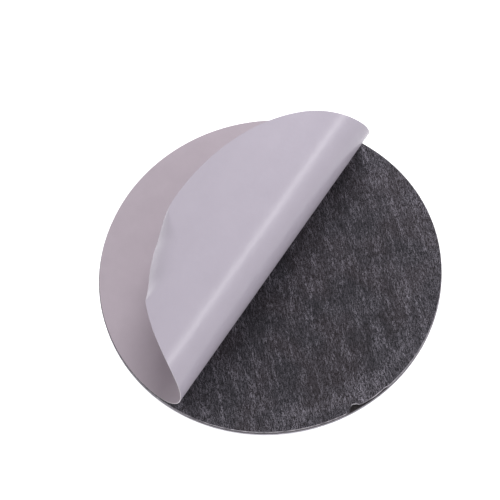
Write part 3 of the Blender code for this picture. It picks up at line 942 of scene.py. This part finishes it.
def hexagon(name, inner, outer):
    """A six-sided head about Z with its outer corners turned off."""
    piece = rod(name, hex_radius, outer - inner, HEX_SIDES, (0, 0, (inner + outer) / 2))
    flat_circle = HEX_FLATS / 2 * HEX_FACE_SHARE
    past = hex_radius * HEX_PAST
    drop = (past - flat_circle) * math.tan(math.radians(HEX_CHAMFER))
    below = inner - CUT_PAST
    profile = [(flat_circle, outer), (past, outer - drop), (past, below), (flat_circle, below)]
    join(piece, "INTERSECT", turned("chamfer", profile, ROUND_FACETS, solid=True))
    return piece


def axle_bolt(finish):
    """A hexagon head on the right side and a shank through both legs, threaded where it shows."""
    low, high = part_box("axle_bolt")
    head_outer = high.x
    head_inner = head_outer - BOLT_HEAD_HEIGHT
    piece = hexagon("hexagon_bolt", head_inner, head_outer)
    root = axle_radius - THREAD_DEPTH
    thread_start = low.x + THREAD_TURNS * THREAD_PITCH
    profile = [(axle_radius, head_inner + BOLT_HEAD_HEIGHT / 2), (axle_radius, thread_start)]
    for turn in range(THREAD_TURNS, 0, -1):
        level = low.x + turn * THREAD_PITCH
        profile += [(root, level - THREAD_PITCH * THREAD_ROOT_AT)]
        profile += [(axle_radius, level - THREAD_PITCH * THREAD_CREST_AT)]
    profile += [(root, low.x)]
    join(piece, "UNION", turned("shank", profile, ROUND_FACETS, solid=True))
    round_edges(piece, BOLT_ROUNDING, segments=2)
    onto_axle(piece)
    dress(piece, "axle_bolt", finish, smooth=CRISP_ANGLE)


def lock_nut(finish, ring_finish):
    """A hexagon with a round collar, whose lip is rolled over a locking ring."""
    low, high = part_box("axle_nut")
    inner = -high.x
    hex_outer = inner + NUT_HEIGHT
    outer = -low.x
    collar = axle_hole + NUT_COLLAR_WALL
    piece = hexagon("lock_nut", inner, hex_outer)
    lip = (outer - hex_outer) / 3
    profile = [(collar, hex_outer - NUT_HEIGHT / 2), (collar, outer - lip)]
    profile += arc((collar - lip, outer - lip), lip, 0, math.pi / 2)
    ring_radius = collar - NUT_LIP_WALL
    ring_face = outer - NUT_RING_DEPTH
    profile += [(ring_radius, outer), (ring_radius, ring_face)]
    join(piece, "UNION", turned("collar", profile, ROUND_FACETS, solid=True))
    bore_length = outer - inner + CUT_PAST
    bore = rod("bore", axle_hole, bore_length, ROUND_FACETS, (0, 0, (inner + outer) / 2))
    join(piece, "DIFFERENCE", bore)
    round_edges(piece, NUT_ROUNDING, segments=2)
    for polygon in piece.data.polygons:
        on_ring = abs(polygon.center.z - ring_face) < NUT_RING_DEPTH / 2
        polygon.material_index = 1 if on_ring and polygon.center.xy.length < ring_radius else 0
    onto_axle(piece, mirrored=True)
    dress(piece, "axle_nut", finish, ring_finish, smooth=CRISP_ANGLE)


def axle_sleeve(finish):
    low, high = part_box("axle_sleeve")
    piece = turned("sleeve_tube", ring(axle_hole, sleeve_radius, low.x, high.x), ROUND_FACETS)
    round_edges(piece, BUSH_ROUNDING)
    onto_axle(piece)
    dress(piece, "axle_sleeve", finish)


def axle_washers(finish):
    low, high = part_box("axle_washer_right")
    for side in ("right", "left"):
        profile = ring(bush_bore, high.z - axle.z, low.x, high.x)
        piece = turned(f"side_washer_{side}", profile, ROUND_FACETS)
        round_edges(piece, BUSH_ROUNDING)
        onto_axle(piece, side == "left")
        dress(piece, f"axle_washer_{side}", finish)


def hub_bushes(finish):
    """Two bushes, each with a flange at its outer end."""
    low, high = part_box("hub_bush_right")
    flange = high.z - axle.z
    flange_inner = high.x - BUSH_FLANGE_THICKNESS
    for side in ("right", "left"):
        profile = [(flange, high.x), (flange, flange_inner), (bush_radius, flange_inner)]
        profile += [(bush_radius, low.x), (bush_bore, low.x), (bush_bore, high.x)]
        piece = turned(f"flanged_bush_{side}", profile, ROUND_FACETS)
        round_edges(piece, BUSH_ROUNDING)
        onto_axle(piece, side == "left")
        dress(piece, f"hub_bush_{side}", finish)


def wheel_hub(finish):
    """A barrel, a web with round holes, and the rim that the tread sits on."""
    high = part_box("wheel_hub")[1]
    rim_outer = high.z - axle.z
    rim_inner = rim_outer - RIM_THICKNESS
    barrel = hub_bore + HUB_WALL
    rim_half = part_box("tread")[1].x - RIM_MARGIN
    web_half = WEB_THICKNESS / 2
    side = [(rim_outer, rim_half), (rim_inner, rim_half), (rim_inner, web_half)]
    side += [(barrel, web_half), (barrel, high.x), (hub_bore, high.x)]
    far_side = [(radius, -height) for radius, height in side]
    piece = turned("moulded_hub", side[:1] + far_side + side[:0:-1], PLATE_FACETS)
    hole_radius = (rim_inner - barrel) / 2 - WEB_HOLE_MARGIN
    hole_length = WEB_THICKNESS + CUT_PAST
    circle = (rim_inner + barrel) / 2
    # Half a facet's turn keeps the corners of a hole off the web's own edges
    half_facet = (0, 0, math.pi / WEB_HOLE_FACETS)
    for number in range(WEB_HOLES):
        turn = math.tau * number / WEB_HOLES
        middle = (circle * math.cos(turn), circle * math.sin(turn), 0)
        hole = rod("web_hole", hole_radius, hole_length, WEB_HOLE_FACETS, middle, half_facet)
        join(piece, "DIFFERENCE", hole)
    round_edges(piece, HUB_ROUNDING)
    onto_axle(piece)
    dress(piece, "wheel_hub", finish)


def tread(finish):
    """The soft ring: crowned across, with round shoulders and a fine mould line in its middle."""
    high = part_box("tread")[1]
    radius = high.z - axle.z
    half = high.x
    rim = radius - TREAD_THICKNESS
    crown_half = half - TREAD_SHOULDER
    places = [crown_half * (1 - 2 * i / TREAD_STEPS) for i in range(TREAD_STEPS + 1)]
    clear = [z for z in places if abs(z) > 2 * MOULD_LINE]
    face = [(radius - TREAD_CROWN * (z / crown_half) ** 2, z) for z in clear]
    middle = len(face) // 2
    face[middle:middle] = [(radius, MOULD_LINE), (radius - MOULD_LINE, 0), (radius, -MOULD_LINE)]
    shoulder = (radius - TREAD_CROWN - TREAD_SHOULDER, crown_half)
    side = arc((rim + TREAD_CORNER, half - TREAD_CORNER), TREAD_CORNER, math.pi, math.pi / 2)
    side += arc((SIDE_GROOVE_RADIUS, half), SIDE_GROOVE, -math.pi, 0)
    side += arc(shoulder, TREAD_SHOULDER, math.pi / 2, 0)
    far_side = [(r, -z) for r, z in reversed(side)]
    piece = turned("soft_tread", side[:-1] + face + far_side[1:], PLATE_FACETS)
    onto_axle(piece)
    dress(piece, "tread", finish)


def direction(azimuth, elevation):
    """The way from the object towards a place seen at an azimuth and an elevation."""
    turn = math.radians(azimuth)
    lift = math.radians(elevation)
    return Vector((math.sin(turn) * math.cos(lift), -math.cos(turn) * math.cos(lift), math.sin(lift)))


def photo_camera():
    """A camera where the photograph was taken from, aimed a little off the pad's middle."""
    back = direction(VIEW_AZIMUTH, VIEW_ELEVATION)
    turn = math.radians(VIEW_AZIMUTH)
    roll = math.radians(VIEW_ROLL)
    level = Vector((math.cos(turn), math.sin(turn), 0))
    upright = back.cross(level)
    across = level * math.cos(roll) - upright * math.sin(roll)
    upward = level * math.sin(roll) + upright * math.cos(roll)
    place = back * VIEW_DISTANCE
    aim = upward * AIM_UP - across * AIM_LEFT
    back = (place - aim).normalized()
    across = (across - back * across.dot(back)).normalized()
    axes = Matrix((across, back.cross(across), back)).transposed().to_4x4()
    bpy.ops.object.camera_add()
    camera = bpy.context.object
    camera.matrix_world = Matrix.Translation(place) @ axes
    camera.data.lens = VIEW_LENS
    camera.data.clip_start = VIEW_CLIP
    bpy.context.scene.camera = camera


def softbox(name, azimuth, elevation, distance, size, power, mirrored=True):
    """A soft lamp that faces the object, by its width and height. Unmirrored, it gives no highlights."""
    back = direction(azimuth, elevation)
    bpy.ops.object.light_add(type="AREA", location=back * distance)
    lamp = bpy.context.object
    lamp.name = name
    lamp.data.shape = "RECTANGLE"
    lamp.data.size, lamp.data.size_y = size
    lamp.data.energy = power
    lamp.visible_camera = False
    lamp.visible_glossy = mirrored
    lamp.rotation_euler = (-back).to_track_quat("-Z", "Y").to_euler()


def seen_directly(tree):
    """1 where the eye, a mirror or glass looks, and 0 where light only bounces."""
    path = add(tree, "ShaderNodeLightPath", {})
    seen = combine(tree, "MAXIMUM", path.outputs["Is Camera Ray"], path.outputs["Is Glossy Ray"])
    return combine(tree, "MAXIMUM", seen, path.outputs["Is Transmission Ray"])


def floor_finish():
    """Matt and pale, with a glow where it is seen directly, and clear from below."""
    made = bpy.data.materials.new("floor")
    made.use_nodes = True
    tree = made.node_tree
    tree.nodes.remove(tree.nodes["Principled BSDF"])
    matt = add(tree, "ShaderNodeBsdfDiffuse", {"Color": paint(232, 232, 233)})
    reach = distance_from(tree, 0.0, 0.0)
    glow = spread(tree, reach, FLOOR_GLOW_REACH, FLOOR_GLOW)
    glow = combine(tree, "MULTIPLY", seen_directly(tree), glow)
    light = add(tree, "ShaderNodeEmission", {"Strength": glow})
    lit = add(tree, "ShaderNodeAddShader", {0: matt.outputs[0], 1: light.outputs[0]})
    facing = add(tree, "ShaderNodeNewGeometry", {})
    clear = add(tree, "ShaderNodeBsdfTransparent", {})
    one_sided = {0: facing.outputs["Backfacing"], 1: lit.outputs[0], 2: clear.outputs[0]}
    shown = add(tree, "ShaderNodeMixShader", one_sided)
    tree.links.new(shown.outputs[0], tree.nodes["Material Output"].inputs["Surface"])
    return made


def pale_floor():
    """The floor under the wheel."""
    deselect()
    bpy.ops.mesh.primitive_plane_add(size=FLOOR_SIZE, location=(0, 0, cad_low.z))
    floor = bpy.context.object
    floor.name = "floor"
    floor.data.materials.append(floor_finish())


def white_surround():
    """White where it is seen directly, and dimmer where it only gives light."""
    world = bpy.data.worlds.new("studio")
    bpy.context.scene.world = world
    world.use_nodes = True
    tree = world.node_tree
    strength = spread(tree, seen_directly(tree), WHOLE, (AMBIENT, 1.0))
    tree.links.new(strength, tree.nodes["Background"].inputs["Strength"])
    tree.nodes["Background"].inputs["Color"].default_value = (1, 1, 1, 1)


def soft_lamps():
    """A key lamp beyond the object, as the photograph sees it, and other lamps round it."""
    softbox(
        "key", azimuth=109, elevation=42, distance=0.34, size=(0.20, 0.16), power=0.84, mirrored=False
    )
    softbox("front_strip", azimuth=24, elevation=36, distance=0.60, size=(0.36, 0.07), power=0.66)
    softbox("front_fill", azimuth=-48, elevation=6, distance=0.60, size=(0.50, 0.30), power=1.7)
    softbox("side_fill", azimuth=-112, elevation=14, distance=0.60, size=(0.40, 0.30), power=0.65)
    softbox("back_fill", azimuth=205, elevation=24, distance=0.60, size=(0.40, 0.40), power=0.25)


zinc = metal_finish(
    "zinc_plate",
    dull=paint(152, 156, 162),
    bright=paint(184, 187, 191),
    roughness=0.28,
    streak=(0.004, 0.0001, 0.0001),
)
plate_zinc = metal_finish(
    "plate_zinc",
    dull=paint(148, 152, 157),
    bright=paint(178, 181, 185),
    roughness=0.32,
    streak=(0.009, 0.00014, 0.001),
    turn=0.4,
)
brass = metal_finish(
    "cage_brass",
    dull=paint(178, 142, 84),
    bright=paint(216, 184, 122),
    roughness=0.30,
    streak=(0.002, 0.0001, 0.0001),
)
ball_steel = metal_finish(
    "ball_steel",
    dull=paint(206, 207, 209),
    bright=paint(226, 227, 229),
    roughness=0.12,
    streak=(0.001, 0.001, 0.001),
)
nylon = moulded_finish(
    "nylon",
    dark=paint(214, 211, 202),
    light=paint(230, 228, 220),
    roughness=0.45,
    relief_depth=0.000006,
)
hub_black = moulded_finish(
    "hub_black",
    dark=paint(34, 34, 36),
    light=paint(50, 50, 53),
    roughness=0.42,
    relief_depth=0.000012,
)
tread_grey = moulded_finish(
    "tread_grey",
    dark=paint(104, 105, 108),
    light=paint(128, 129, 132),
    roughness=0.68,
    relief_depth=0.000016,
)
coated_paper = paper_finish(
    "coated_paper",
    dark=paint(191, 183, 197),
    light=paint(194, 186, 200),
    roughness=0.268,
    dulling=0.003,
    wave_depth=0.000030,
)
plain_paper = paper_finish(
    "plain_paper",
    dark=paint(189, 177, 187),
    light=paint(194, 182, 192),
    roughness=0.485,
    dulling=0.015,
    wave_depth=0.000015,
)
cut_paper = paper_finish(
    "cut_paper",
    dark=paint(214, 208, 214),
    light=paint(226, 221, 226),
    roughness=0.605,
    dulling=0.015,
    wave_depth=0.000020,
)

sticky_face = tape(tape_face_finish(), tape_edge_finish())
pad_layers(foam_finish(), bond_finish())
liner = release_liner(plain_paper, coated_paper, cut_paper)
steel_plate(plate_zinc)
rivet(zinc)
kingpin_washers(nylon, zinc)
brass_cage(brass)
bearing_balls(ball_steel)
pressed_fork(zinc)
axle_bolt(zinc)
lock_nut(zinc, nylon)
axle_sleeve(zinc)
axle_washers(nylon)
hub_bushes(nylon)
wheel_hub(hub_black)
tread(tread_grey)

photo_camera()
pale_floor()
white_surround()
soft_lamps()
bpy.context.scene.view_settings.view_transform = "Standard"
